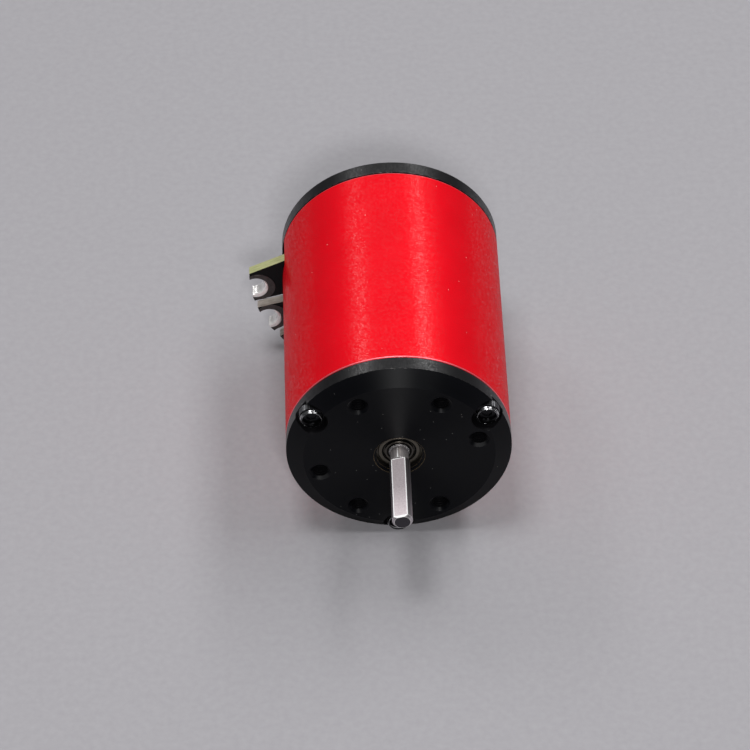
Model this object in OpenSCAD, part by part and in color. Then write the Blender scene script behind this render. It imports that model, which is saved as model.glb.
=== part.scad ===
// Brushless inrunner motor with a fixed can, a screwed cover at each end and solder tabs.
//
// The frame: the origin is the middle of the front mounting face, on the shaft's axis.
// The shaft points along -Y, the motor's body runs back along +Y, and +Z is up while it
// lies on its side. An angle is measured from +X towards +Z, as seen from the front.

/* [Can] */
// Outside diameter of the can and of both covers
can_d = 35; // [34:0.5:37]
// Length of the can between the two covers
can_l = 42; // [38:1:50]
// Wall of the can
can_wall = 3.3; // [3:0.1:3.5]
// Chamfer on both rims of the can
can_chamfer = 0.25; // [0.1:0.05:0.4]
// Length of the window for the solder tabs, open to the rear rim
window_l = 6; // [5.5:0.25:7]
// Gap between the board's edges and the window's sides
window_gap = 0.25; // [0.15:0.05:0.5]

/* [Covers] */
// Thickness of a cover outside the can
cover_t = 4; // [3.6:0.1:5]
// Height of the straight band around a cover
cover_band = 2.35; // [1.5:0.05:2.6]
// Width of the bevel, measured inwards from the rim
bevel_w = 2.6; // [2:0.1:3]
// Length of the front cover's spigot inside the can
front_spigot_l = 2.5; // [1.5:0.1:3]
// Length of the rear cover's spigot inside the can
rear_spigot_l = 1.8; // [1:0.1:2]
// Width of the spigot ring
spigot_w = 3.2; // [2.4:0.1:3.3]
// Slip between spigot and can
spigot_gap = 0.05; // [0.02:0.01:0.1]
// Radius of the boss behind the bearing seat
boss_r = 6.6; // [6:0.1:7]
// Thickness of the lip in front of a bearing
lip_t = 0.95; // [0.8:0.05:1.2]
// Radius of the opening in the lip
lip_r = 3.6; // [3.2:0.05:3.9]
// Chamfer around that opening
lip_chamfer = 0.37; // [0.2:0.01:0.5]

/* [Mounting holes] */
// Diameter of the hole circle in the front face
hole_pcd = 25.4; // [25:0.1:26]
// Radius of a tapped M3 hole
hole_r = 1.25; // [1.2:0.01:1.35]
// Chamfer at the mouth of a tapped hole
hole_chamfer = 0.45; // [0.2:0.05:0.6]
// Angle of the four-hole pattern's first hole
hole_angle = 60; // [55:1:65]
// Angle of the pair of opposite holes
pair_angle = 15; // [8:1:18]

/* [Cover screws] */
// Number of screws in each cover
screw_count = 3; // [3:1:3]
// Angle of the first screw
screw_angle = 30; // [28:1:34]
// Distance from a screw's axis to the outside of the can
screw_edge = 1.92; // [1.9:0.02:2.1]
// Thread diameter of a screw
screw_d = 2; // [1.6:0.1:2]
// Diameter of a screw's head
screw_head_d = 3.8; // [3.4:0.1:4]
// Height of a screw's head
screw_head_h = 2; // [1.6:0.1:2.2]
// Width across the flats of the hexagon socket
screw_hex = 1.5; // [1.3:0.1:1.6]
// Length of a screw below its head
screw_l = 6; // [5:1:8]
// Depth of a head's front below the cover's face
head_sink = 0.45; // [0.3:0.05:0.8]
// Gap around a screw's head
head_gap = 0.6; // [0.3:0.05:0.65]
// Diameter of a rear screw's button head
button_d = 3.5; // [3.2:0.1:3.6]
// Height of a button head
button_h = 1.2; // [1:0.05:1.25]
// Width across the flats of a button head's socket
button_hex = 1.3; // [1.1:0.1:1.4]
// Depth of a button head's crown below the rear cover's face
button_sink = 0.3; // [0.2:0.05:0.35]
// Gap around a button head
button_gap = 0.3; // [0.2:0.05:0.4]

/* [Shaft] */
// Diameter of the shaft
shaft_d = 3.175; // [3:0.025:3.2]
// Length of the shaft in front of the mounting face
shaft_out = 14; // [12:0.5:18]
// Depth of the flat
flat_depth = 0.45; // [0.3:0.01:0.45]
// Direction that the flat faces
flat_angle = 104; // [80:1:120]
// Distance from the mounting face to the flat
flat_start = 1.55; // [1:0.05:3]
// Diameter of the grinding relief behind the flat
neck_d = 2.8; // [2.7:0.02:2.82]
// Chamfer at the tip
tip_chamfer = 0.35; // [0.2:0.05:0.5]
// Diameter of the shaft inside the rotor
core_d = 5; // [4.6:0.1:5.4]

/* [Rotor] */
// Length of magnet beyond each end of the stator stack
magnet_over = 1; // [0.5:0.1:1.5]
// Thickness of the sleeve that binds the magnet
sleeve_t = 0.3; // [0.2:0.05:0.4]
// Thickness of a balance ring
balance_t = 2; // [1.2:0.1:2.2]
// Gap between the sleeve and the stator
air_gap = 0.7; // [0.4:0.05:0.9]

/* [Bearings] */
// Outside diameter of a bearing
bearing_d = 9.525; // [9.4:0.025:9.6]
// Width of a bearing
bearing_w = 3.967; // [3.8:0.001:4.2]
// Diameter of a ball
ball_d = 1.568; // [1.5:0.004:1.588]
// Number of balls
ball_count = 7; // [5:1:7]
// Radial clearance between a ball and its grooves
ball_gap = 0.056; // [0.03:0.002:0.07]
// Height left for the preload washer behind the rear bearing
washer_h = 0.45; // [0.35:0.05:0.6]
// Thickness of the shim behind the front bearing
shim_t = 0.4; // [0.2:0.05:0.6]
// Length of the spacer in front of the rear bearing
spacer_l = 3.1; // [2:0.1:4]

/* [Stator] */
// Room in the can in front of the stator stack
front_space = 7.5; // [7.2:0.1:8]
// Room in the can behind the stator stack
rear_space = 10.5; // [10.3:0.1:11.5]
// Split ratio: the stator's bore over the stack's outside diameter
split_ratio = 0.508; // [0.48:0.002:0.52]
// Thickness of the back iron
back_iron = 2.25; // [1.9:0.05:2.4]
// Width of a tooth
tooth_w = 4.2; // [3.8:0.1:4.4]
// Thickness of a tooth's shoe
shoe_t = 0.9; // [0.7:0.05:1]
// Width of a slot's mouth
slot_mouth = 2; // [1.6:0.1:2.4]
// Thickness of a slot liner
liner_t = 0.13; // [0.1:0.01:0.2]
// Thickness of an end insulator
insulator_t = 0.9; // [0.7:0.05:1]
// Thickness of the winding around a tooth
winding_t = 1.9; // [1.5:0.05:2.1]
// Diameter of a phase lead
lead_d = 1.1; // [0.8:0.05:1.2]

/* [Terminal board] */
// Distance from the board's front face to the can's rear rim
board_back = 4.8; // [4.6:0.05:5]
// Thickness of the board
board_t = 1.6; // [1.5:0.05:1.7]
// Direction in which the tabs leave the can
tab_angle = 206; // [203:1:207]
// Width of the three tabs together
tab_w = 20.6; // [20:0.1:21]
// Reach of the tabs beyond the outside of the can
tab_reach = 5.4; // [5:0.1:5.6]
// Angle between two tabs
tab_pitch = 18.9; // [18.6:0.1:19.2]
// Width of the slot between two tabs
slot_w = 1.6; // [1.3:0.1:1.8]
// Radius of a tab's notch before it is plated
notch_r = 2.1; // [1.9:0.05:2.2]
// Width of the pad around a notch
pad_w = 0.65; // [0.5:0.05:0.75]
// Thickness of the plating
plating_t = 0.08; // [0.05:0.01:0.12]
// Solder at its thickest in a notch
solder_t = 0.9; // [0.6:0.05:1.1]
// Gap between the lowest tab corner and the surface under the can
tab_lift = 0.1; // [0.05:0.05:0.5]

/* [Hidden] */
$fn = 96;
eps = 0.01;

// Stations along the axis
can_front = cover_t;
can_rear = cover_t + can_l;
motor_l = can_rear + cover_t;
front_bearing_y = lip_t;
rear_bearing_y = motor_l - lip_t - washer_h - bearing_w;
stack_front = can_front + front_space;
stack_rear = can_rear - rear_space;
stack_l = stack_rear - stack_front;
board_front = can_rear - board_back;
board_rear = board_front + board_t;
boss_over = 0.5;

// Radii of the housing
can_r = can_d / 2;
bore_r = can_r - can_wall;
spigot_r = bore_r - spigot_gap;
screw_pcr = can_r - screw_edge;
screw_angles = [for (i = [0 : screw_count - 1]) screw_angle + i * 360 / screw_count];
counterbore_r = screw_head_d / 2 + head_gap;
counterbore_depth = head_sink + screw_head_h;
button_bore_r = button_d / 2 + button_gap;
button_bore_depth = button_sink + button_h;
screw_gap = 0.1;
thread_gap = 0.02;
thread_spare = 1.5;
four_hole_angles = [hole_angle, 180 - hole_angle, 180 + hole_angle, 360 - hole_angle];
hole_angles = concat(four_hole_angles, [pair_angle, 180 + pair_angle]);

// Radii of the stator and of the rotor inside it
stack_r = bore_r - 0.02;
stator_bore_r = split_ratio * stack_r;
slot_bottom_r = stack_r - back_iron;
shoe_r = stator_bore_r + shoe_t;
sleeve_r = stator_bore_r - air_gap;
magnet_r = sleeve_r - sleeve_t;

// The rotor
shaft_r = shaft_d / 2;
core_r = core_d / 2;
magnet_front = stack_front - magnet_over;
magnet_rear = stack_rear + magnet_over;
bind_gap = 0.01;
balance_hole_r = 0.6;
balance_hole_depth = 1.1;
shoulder_front = front_bearing_y + bearing_w + shim_t;
shoulder_rear = rear_bearing_y - spacer_l;
shaft_end = rear_bearing_y + bearing_w + 0.1;

// A bearing's inside, with stations measured from its front face
seat_r = bearing_d / 2;
seat_gap = 0.005;
pitch_r = (shaft_r + seat_r) / 2;
ball_r = ball_d / 2;
groove_r = ball_r + ball_gap;
inner_land_r = pitch_r - 0.675;
inner_step_r = inner_land_r - 0.28;
outer_land_r = pitch_r + 0.625;
recess_r = outer_land_r + 0.18;
step_depth = 0.45;
recess_depth = 0.42;
race_chamfer = 0.15;
shield_rim = inner_land_r - 0.04;
shield_bend = pitch_r + 0.025;
shield_sink = 0.1;
shield_drop = 0.14;
shield_t = 0.18;
cage_half_h = 1.05;
cage_half_w = 0.32;
pocket_gap = 0.06;

// Teeth and coils
tooth_angles = [for (i = [0 : 5]) tab_angle + 60 * i];
coil_slip = 0.05;
coil_in_half_w = tooth_w / 2 + liner_t + coil_slip;
coil_low = shoe_r + 0.15;
coil_half_w = coil_in_half_w + winding_t;
coil_high = sqrt(pow(slot_bottom_r - liner_t, 2) - pow(coil_half_w, 2)) - coil_slip;
coil_in_half_l = stack_l / 2 + insulator_t + coil_slip;
coil_half_l = coil_in_half_l + winding_t;
coil_mid = (stack_front + stack_rear) / 2;
coil_in_round = 0.4;
coil_out_round = 1.8;
crown_rear = coil_mid + coil_half_l;
rim_t = 1.1;
rim_h = 2.9;
rim_gap = 0.1;

// The board, its posts and the leads that reach it
board_r = bore_r - 0.3;
board_bore_r = core_r + 3.6;
post_r = 1.3;
post_pcr = stack_r - post_r - 0.35;
post_angles = [for (a = [90, 150, 210, 270]) tab_angle + a];
post_screw_d = 1.6;
post_screw_l = 3.5;
post_head_r = 1.35;
post_head_h = 0.9;
post_slot_w = 0.35;
post_slot_depth = 0.4;
lead_r = lead_d / 2;
lead_pcr = (coil_low + coil_high) / 2;
lead_angles = [tab_angle - 40, tab_angle, tab_angle + 40];
lead_hole_gap = 0.1;
lead_proud = 0.8;
lead_fillet_r = 1;
lead_fillet_h = 0.7;
tab_r = can_r + tab_reach;
slot_bottom = can_r - 0.4;
notch_pcr = tab_r - 0.85;
notch_angles = [for (k = [-1 : 1]) tab_angle + k * tab_pitch];
plated_r = notch_r - plating_t;
pad_shift = 0.4;
solder_side = -60;
solder_proud = 0.3;
tab_floor = tab_lift - can_r;

// A flat outline in the XZ plane, made thick along the axis from y to y + t
module slab(y, t) {
    translate([0, y + t, 0]) rotate([90, 0, 0]) linear_extrude(t) children();
}

// A profile of (radius, y) points turned about the axis
module turned() {
    rotate([-90, 0, 0]) rotate_extrude() children();
}

// A child drawn along its own +Z, set parallel to the axis at an angle and a radius
module placed(angle, radius, y = 0) {
    translate([radius * cos(angle), y, radius * sin(angle)]) rotate([-90, 0, 0]) children();
}

module ring(outer, inner) {
    difference() {
        circle(outer);
        circle(inner);
    }
}

module rounded_rect(w, l, r) {
    square([w - 2 * r, l], center = true);
    square([w, l - 2 * r], center = true);
    for (x = [-1, 1], y = [-1, 1]) {
        translate([x * (w / 2 - r), y * (l / 2 - r)]) circle(r);
    }
}

// Shapes of the housing

// A bevelled disc with its outer face at y = 0, a spigot ring and a bearing seat in a boss
module cover_blank(spigot_l, seat_l, head_bore_r, head_bore_depth) {
    face_r = can_r - bevel_w;
    bevel_h = cover_t - cover_band;
    boss_l = max(cover_t, lip_t + seat_l + boss_over);
    difference() {
        union() {
            turned() polygon([
                [0, 0], [face_r, 0], [can_r, bevel_h], [can_r, cover_t],
                [spigot_r, cover_t], [spigot_r, cover_t + spigot_l],
                [spigot_r - spigot_w, cover_t + spigot_l], [spigot_r - spigot_w, cover_t],
                [0, cover_t]
            ]);
            slab(0, boss_l) circle(boss_r);
        }
        slab(lip_t, boss_l) circle(seat_r + seat_gap);
        slab(-eps, lip_t + 2 * eps) circle(lip_r);
        turned() polygon([
            [0, -eps], [lip_r + lip_chamfer + eps, -eps], [lip_r, lip_chamfer], [0, lip_chamfer]
        ]);
        for (a = screw_angles) {
            placed(a, screw_pcr, -eps) cylinder(h = head_bore_depth + eps, r = head_bore_r);
            placed(a, screw_pcr, -eps) cylinder(h = cover_t + 2 * eps, r = screw_d / 2 + screw_gap);
        }
    }
}

// Socket head screw with the head's front at z = 0 and its thread along +Z
module cap_screw() {
    difference() {
        cylinder(h = screw_head_h, r = screw_head_d / 2);
        translate([0, 0, -eps]) {
            cylinder(h = screw_head_h / 2 + eps, d = screw_hex / cos(30), $fn = 6);
        }
    }
    translate([0, 0, screw_head_h]) cylinder(h = screw_l, r = screw_d / 2);
}

// Button head screw, drawn the same way
module button_screw() {
    dome_r = (pow(button_d / 2, 2) + pow(button_h, 2)) / (2 * button_h);
    difference() {
        intersection() {
            cylinder(h = button_h, r = button_d / 2);
            translate([0, 0, dome_r]) sphere(dome_r);
        }
        translate([0, 0, -eps]) {
            cylinder(h = button_h / 2 + eps, d = button_hex / cos(30), $fn = 6);
        }
    }
    translate([0, 0, button_h]) cylinder(h = screw_l, r = screw_d / 2);
}

// Length of a tapped hole in the can for screws whose heads rest this deep in a cover
function tap_l(seat) = screw_l - (cover_t - seat) + thread_spare;

// A shape for the front end, turned round to face the rear
module at_rear() {
    translate([0, motor_l, 0]) mirror([0, 1, 0]) children();
}

module can() {
    front_tap_l = tap_l(counterbore_depth);
    rear_tap_l = tap_l(button_bore_depth);
    color("crimson") difference() {
        turned() polygon([
            [bore_r, can_front], [can_r - can_chamfer, can_front],
            [can_r, can_front + can_chamfer], [can_r, can_rear - can_chamfer],
            [can_r - can_chamfer, can_rear], [bore_r, can_rear]
        ]);
        for (a = screw_angles) {
            placed(a, screw_pcr, can_front - eps) {
                cylinder(h = front_tap_l + eps, r = screw_d / 2 + thread_gap);
            }
            placed(a, screw_pcr, can_rear - rear_tap_l) {
                cylinder(h = rear_tap_l + eps, r = screw_d / 2 + thread_gap);
            }
        }
        slab(can_rear - window_l, window_l + eps) rotate(tab_angle) {
            translate([0, -tab_w / 2 - window_gap]) square([can_d, tab_w + 2 * window_gap]);
        }
    }
}

module front_cover() {
    hole_l = cover_t + front_spigot_l;
    color("#26262a") difference() {
        cover_blank(front_spigot_l, bearing_w, counterbore_r, counterbore_depth);
        for (a = hole_angles) {
            placed(a, hole_pcd / 2, -eps) {
                cylinder(h = hole_l + 2 * eps, r = hole_r);
                cylinder(h = hole_chamfer + eps, r1 = hole_r + hole_chamfer + eps, r2 = hole_r);
            }
        }
    }
}

module rear_cover() {
    color("#26262a") at_rear() {
        cover_blank(rear_spigot_l, washer_h + bearing_w, button_bore_r, button_bore_depth);
    }
}

module front_cover_screws() {
    color("#55555a") for (a = screw_angles) placed(a, screw_pcr, head_sink) cap_screw();
}

module rear_cover_screws() {
    color("#55555a") at_rear() {
        for (a = screw_angles) placed(a, screw_pcr, button_sink) button_screw();
    }
}

// Shapes of a ball bearing, with its front face at y = 0

module race_grooves() {
    translate([pitch_r, bearing_w / 2]) circle(groove_r);
}

module outer_race() {
    c = race_chamfer;
    turned() difference() {
        polygon([
            [outer_land_r, 0], [seat_r - c, 0], [seat_r, c],
            [seat_r, bearing_w - c], [seat_r - c, bearing_w], [outer_land_r, bearing_w]
        ]);
        race_grooves();
        translate([outer_land_r - eps, -eps]) square([recess_r - outer_land_r + eps, recess_depth + eps]);
        translate([outer_land_r - eps, bearing_w - recess_depth]) {
            square([recess_r - outer_land_r + eps, recess_depth + eps]);
        }
    }
}

module inner_race() {
    step_w = inner_land_r - inner_step_r;
    turned() difference() {
        translate([shaft_r + seat_gap, 0]) square([inner_land_r - shaft_r - seat_gap, bearing_w]);
        race_grooves();
        translate([inner_step_r, -eps]) square([step_w + eps, step_depth + eps]);
        translate([inner_step_r, bearing_w - step_depth]) square([step_w + eps, step_depth + eps]);
    }
}

module shield() {
    low = shield_sink + shield_drop;
    turned() polygon([
        [shield_rim, shield_sink], [shield_bend, shield_sink], [shield_bend + 0.1, low],
        [recess_r, low], [recess_r, low + shield_t], [shield_bend, low + shield_t],
        [shield_bend - 0.1, shield_sink + shield_t], [shield_rim, shield_sink + shield_t]
    ]);
}

module shields() {
    shield();
    translate([0, bearing_w, 0]) mirror([0, 1, 0]) shield();
}

function ball_angle(i) = 90 + i * 360 / ball_count;

module balls() {
    for (i = [0 : ball_count - 1]) {
        placed(ball_angle(i), pitch_r, bearing_w / 2) sphere(ball_r, $fn = 48);
    }
}

module cage() {
    difference() {
        slab(bearing_w / 2 - cage_half_h, 2 * cage_half_h) {
            ring(pitch_r + cage_half_w, pitch_r - cage_half_w);
        }
        for (i = [0 : ball_count - 1]) {
            translate([0, bearing_w / 2, 0]) rotate([0, 90 - ball_angle(i), 0]) {
                cylinder(h = seat_r, r = ball_r + pocket_gap);
            }
        }
    }
}

module at_front_bearing() {
    translate([0, front_bearing_y, 0]) children();
}

module at_rear_bearing() {
    translate([0, rear_bearing_y, 0]) children();
}

module front_bearing_outer_race() { color("#9a9aa0") at_front_bearing() outer_race(); }
module front_bearing_inner_race() { color("#b4b4ba") at_front_bearing() inner_race(); }
module front_bearing_shields() { color("#85858c") at_front_bearing() shields(); }
module front_bearing_balls() { color("#d8d8dc") at_front_bearing() balls(); }
module front_bearing_cage() { color("#b49a58") at_front_bearing() cage(); }
module rear_bearing_outer_race() { color("#9a9aa0") at_rear_bearing() outer_race(); }
module rear_bearing_inner_race() { color("#b4b4ba") at_rear_bearing() inner_race(); }
module rear_bearing_shields() { color("#85858c") at_rear_bearing() shields(); }
module rear_bearing_balls() { color("#d8d8dc") at_rear_bearing() balls(); }
module rear_bearing_cage() { color("#b49a58") at_rear_bearing() cage(); }

// Coned spring washer between the rear bearing and the cover's lip
module preload_washer() {
    t = 0.15;
    low = rear_bearing_y + bearing_w;
    high = low + washer_h;
    inner = recess_r + 0.02;
    outer = seat_r - 0.06;
    color("#a8a8ae") turned() polygon([[inner, high - t], [outer, low], [outer, low + t], [inner, high]]);
}

// The rotor

module shaft() {
    neck_front = -flat_start;
    neck_rear = front_bearing_y - 0.05;
    flat_h = shaft_r - flat_depth;
    color("#c4c4c8") difference() {
        turned() polygon([
            [0, -shaft_out], [shaft_r - tip_chamfer, -shaft_out], [shaft_r, tip_chamfer - shaft_out],
            [shaft_r, neck_front], [neck_d / 2, neck_front], [neck_d / 2, neck_rear],
            [shaft_r, neck_rear], [shaft_r, shoulder_front], [core_r, shoulder_front],
            [core_r, shoulder_rear], [shaft_r, shoulder_rear], [shaft_r, shaft_end], [0, shaft_end]
        ]);
        slab(-shaft_out - eps, shaft_out - flat_start + eps) rotate(flat_angle) {
            translate([flat_h, -shaft_d]) square([shaft_d, 2 * shaft_d]);
        }
    }
}

module rotor_magnet() {
    color("#6a6a70") slab(magnet_front, magnet_rear - magnet_front) ring(magnet_r, core_r + bind_gap);
}

module magnet_sleeve() {
    sleeve_front = magnet_front - balance_t;
    sleeve_l = magnet_rear - magnet_front + 2 * balance_t;
    color("#3a3a3e") slab(sleeve_front, sleeve_l) ring(sleeve_r, magnet_r + bind_gap);
}

// Brass ring with two drilled correction holes in its outer face, which is at y = 0
module balance_ring() {
    hole_pcr = (magnet_r + core_r) / 2;
    difference() {
        slab(0, balance_t) ring(magnet_r, core_r + bind_gap);
        for (a = [35, 80]) {
            placed(a, hole_pcr, -eps) cylinder(h = balance_hole_depth, r = balance_hole_r);
        }
    }
}

module front_balance_ring() {
    color("#b8954a") translate([0, magnet_front - balance_t, 0]) balance_ring();
}

module rear_balance_ring() {
    color("#b8954a") translate([0, magnet_rear + balance_t, 0]) rotate([0, 0, 180]) balance_ring();
}

module front_shim() {
    color("#b4b4ba") slab(shoulder_front - shim_t, shim_t) ring(inner_step_r, shaft_r + seat_gap);
}

module rear_spacer() {
    color("#b8954a") slab(shoulder_rear, spacer_l) ring(inner_step_r, shaft_r + seat_gap);
}

// The stator

// Back iron, six teeth and their shoes, for laminations and end insulators
module tooth_outline(outer_r, w) {
    ring(outer_r, slot_bottom_r);
    difference() {
        for (a = tooth_angles) {
            rotate(a) translate([0, -w / 2]) square([slot_bottom_r + back_iron / 2, w]);
        }
        circle(stator_bore_r);
    }
    difference() {
        ring(shoe_r, stator_bore_r);
        for (a = tooth_angles) {
            rotate(a + 30) translate([0, -slot_mouth / 2]) square([can_r, slot_mouth]);
        }
    }
}

module stator_stack() {
    color("#8e9096") slab(stack_front, stack_l) tooth_outline(stack_r, tooth_w);
}

module slot_liners() {
    side_l = slot_bottom_r - shoe_r - coil_slip;
    color("#e8e0c0") slab(stack_front, stack_l) intersection() {
        circle(slot_bottom_r);
        union() {
            difference() {
                ring(slot_bottom_r, slot_bottom_r - liner_t);
                for (a = tooth_angles) {
                    rotate(a) translate([0, -tooth_w / 2]) square([can_r, tooth_w]);
                }
            }
            for (a = tooth_angles, side = [-1, 1]) {
                rotate(a) translate([slot_bottom_r - side_l, side * (tooth_w + liner_t) / 2 - liner_t / 2]) {
                    square([side_l, liner_t]);
                }
            }
        }
    }
}

// A moulded end piece with its back on the stack at y = 0 and its rim along +Y
module insulator_blank() {
    slab(0, insulator_t) tooth_outline(stack_r - rim_gap, tooth_w);
    slab(0, insulator_t + rim_h) ring(slot_bottom_r + rim_gap + rim_t, slot_bottom_r + rim_gap);
}

module front_insulator() {
    color("#2f3a34") translate([0, stack_front, 0]) mirror([0, 1, 0]) insulator_blank();
}

module rear_insulator() {
    post_l = board_front - stack_rear;
    color("#2f3a34") difference() {
        union() {
            translate([0, stack_rear, 0]) insulator_blank();
            for (a = post_angles) placed(a, post_pcr, stack_rear) cylinder(h = post_l, r = post_r);
        }
        for (a = post_angles) {
            placed(a, post_pcr, board_front - post_screw_l) {
                cylinder(h = post_screw_l + eps, d = post_screw_d + 2 * thread_gap);
            }
        }
    }
}

// A coil wound round the tooth at this angle
module coil(angle) {
    rotate([0, 90 - angle, 0]) translate([0, coil_mid, coil_low]) {
        linear_extrude(coil_high - coil_low) difference() {
            rounded_rect(2 * coil_half_w, 2 * coil_half_l, coil_out_round);
            rounded_rect(2 * coil_in_half_w, 2 * coil_in_half_l, coil_in_round);
        }
    }
}

module phase_coils(phase) {
    for (i = [0, 3]) coil(tooth_angles[phase + i]);
}

module coils_phase_a() { color("#b5652a") phase_coils(0); }
module coils_phase_b() { color("#b5652a") phase_coils(1); }
module coils_phase_c() { color("#b5652a") phase_coils(2); }

// Coil ends that run straight back through the board
module phase_leads() {
    lead_l = board_rear + lead_proud - crown_rear;
    color("#b5652a") for (a = lead_angles) {
        placed(a, lead_pcr, crown_rear) cylinder(h = lead_l, r = lead_r);
    }
}

module lead_solder() {
    color("#d0d0d4") for (a = lead_angles) {
        placed(a, lead_pcr, board_rear) difference() {
            cylinder(h = lead_fillet_h, r1 = lead_fillet_r, r2 = lead_r + 0.1);
            translate([0, 0, -eps]) cylinder(h = lead_fillet_h + 2 * eps, r = lead_r);
        }
    }
}

// The terminal board

// Three tabs with a slot between each two, cut off above the surface that the can lies on
module tab_block() {
    difference() {
        intersection() {
            rotate(tab_angle) translate([0, -tab_w / 2]) square([tab_r, tab_w]);
            circle(tab_r);
            translate([-can_d, tab_floor]) square(2 * can_d);
        }
        for (k = [-1, 1]) rotate(tab_angle + k * tab_pitch / 2) {
            translate([slot_bottom, -slot_w / 2]) square([tab_r, slot_w]);
        }
    }
}

module at_notches() {
    for (a = notch_angles) rotate(a) translate([notch_pcr, 0]) children();
}

module terminal_board() {
    color("#3c4a2c") slab(board_front, board_t) difference() {
        union() {
            circle(board_r);
            tab_block();
        }
        circle(board_bore_r);
        at_notches() circle(notch_r);
        for (a = lead_angles) {
            rotate(a) translate([lead_pcr, 0]) circle(lead_r + lead_hole_gap);
        }
        for (a = post_angles) {
            rotate(a) translate([post_pcr, 0]) circle(post_screw_d / 2 + lead_hole_gap);
        }
    }
}

// Plated through each notch, with a pad on both faces
module tab_pads() {
    color("#c9c9c4") {
        slab(board_front, board_t) intersection() {
            tab_block();
            at_notches() ring(notch_r, plated_r);
        }
        for (y = [board_front - plating_t, board_rear]) {
            slab(y, plating_t) intersection() {
                tab_block();
                at_notches() difference() {
                    translate([-pad_shift, 0]) circle(notch_r + pad_w);
                    circle(plated_r);
                }
            }
        }
    }
}

// Solder along the lower side of each notch, ready for a wire
module tab_solder() {
    color("#e2e2e6") slab(board_front - solder_proud, board_t + 2 * solder_proud) intersection() {
        tab_block();
        at_notches() difference() {
            circle(plated_r);
            rotate(solder_side) translate([solder_t, 0]) circle(plated_r);
        }
    }
}

module board_screws() {
    color("#b8b8bc") for (a = post_angles) placed(a, post_pcr, board_rear) difference() {
        union() {
            cylinder(h = post_head_h, r = post_head_r);
            translate([0, 0, -board_t - post_screw_l + 0.3]) {
                cylinder(h = board_t + post_screw_l - 0.3 + eps, d = post_screw_d);
            }
        }
        translate([-post_head_r, -post_slot_w / 2, post_head_h - post_slot_depth]) {
            cube([2 * post_head_r, post_slot_w, post_slot_depth + eps]);
        }
    }
}

can();
front_cover();
rear_cover();
front_cover_screws();
rear_cover_screws();
front_bearing_outer_race();
front_bearing_shields();
rear_bearing_outer_race();
rear_bearing_shields();
preload_washer();
stator_stack();
slot_liners();
front_insulator();
rear_insulator();
coils_phase_a();
coils_phase_b();
coils_phase_c();
phase_leads();
lead_solder();
terminal_board();
tab_pads();
tab_solder();
board_screws();
shaft();
rotor_magnet();
magnet_sleeve();
front_balance_ring();
rear_balance_ring();
front_shim();
rear_spacer();
front_bearing_inner_race();
rear_bearing_inner_race();
front_bearing_balls();
front_bearing_cage();
rear_bearing_balls();
rear_bearing_cage();
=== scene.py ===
"""Brushless inrunner motor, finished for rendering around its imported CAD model."""

import math

import bmesh
import bpy
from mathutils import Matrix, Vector


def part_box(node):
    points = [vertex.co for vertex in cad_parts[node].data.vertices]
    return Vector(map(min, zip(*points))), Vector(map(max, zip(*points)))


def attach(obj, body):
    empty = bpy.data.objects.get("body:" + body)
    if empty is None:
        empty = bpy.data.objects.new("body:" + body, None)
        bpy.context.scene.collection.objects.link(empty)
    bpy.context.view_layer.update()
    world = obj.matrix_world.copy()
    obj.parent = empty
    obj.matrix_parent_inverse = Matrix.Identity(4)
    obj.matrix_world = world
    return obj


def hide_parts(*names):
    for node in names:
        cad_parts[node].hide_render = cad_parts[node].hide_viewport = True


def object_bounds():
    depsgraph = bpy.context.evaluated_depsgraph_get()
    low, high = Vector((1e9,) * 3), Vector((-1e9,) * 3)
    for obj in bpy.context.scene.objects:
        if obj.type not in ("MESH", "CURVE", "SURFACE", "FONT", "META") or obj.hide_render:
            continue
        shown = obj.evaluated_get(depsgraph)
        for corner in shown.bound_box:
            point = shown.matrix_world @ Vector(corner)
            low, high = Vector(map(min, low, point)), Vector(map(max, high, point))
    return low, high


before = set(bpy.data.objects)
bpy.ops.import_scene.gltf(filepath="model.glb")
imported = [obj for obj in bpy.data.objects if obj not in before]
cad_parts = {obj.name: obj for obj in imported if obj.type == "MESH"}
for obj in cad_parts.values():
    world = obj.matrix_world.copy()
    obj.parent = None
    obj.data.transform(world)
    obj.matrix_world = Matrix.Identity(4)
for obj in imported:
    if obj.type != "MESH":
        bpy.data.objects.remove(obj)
cad_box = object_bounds()

# Camera. A long lens about 0.6 m away looks down at 45 degrees on the front cover, with the
# motor lying on its side and its shaft towards the viewer.
lens = bpy.data.cameras.new("camera")
lens.sensor_width = 36.0
lens.lens = 189.46
lens.clip_start = 0.01
camera = bpy.data.objects.new("camera", lens)
camera.location = (-0.01642, -0.42227, 0.44032)
camera.rotation_euler = (math.radians(44.995), 0.0, math.radians(-1.715))
bpy.context.scene.collection.objects.link(camera)
bpy.context.scene.camera = camera

# Floor and light. The motor lies on a plain pale sheet of paper. A broad panel behind it lights
# the can, two strips draw the bright bands along it, and boxes above and in front light the
# front cover and pick out its edges.
MM = 0.001


def node(tree, kind, values=(), **settings):
    """A shader or geometry node with its settings, its socket values and its links."""
    made = tree.nodes.new(kind)
    for name, value in settings.items():
        setattr(made, name, value)
    for socket, value in dict(values).items():
        if isinstance(value, bpy.types.NodeSocket):
            tree.links.new(value, made.inputs[socket])
        else:
            made.inputs[socket].default_value = value
    return made


def new_material(name, **shader_values):
    """A material with its Principled shader set, as (material, tree, shader)."""
    material = bpy.data.materials.new(name)
    material.use_nodes = True
    shader = material.node_tree.nodes["Principled BSDF"]
    for socket, value in shader_values.items():
        shader.inputs[socket.replace("_", " ")].default_value = value
    return material, material.node_tree, shader


def mixed(tree, factor, first, second):
    """The output of a colour mix."""
    values = {"Factor": factor, "A": first, "B": second}
    return node(tree, "ShaderNodeMix", values, data_type="RGBA").outputs["Result"]


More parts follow.
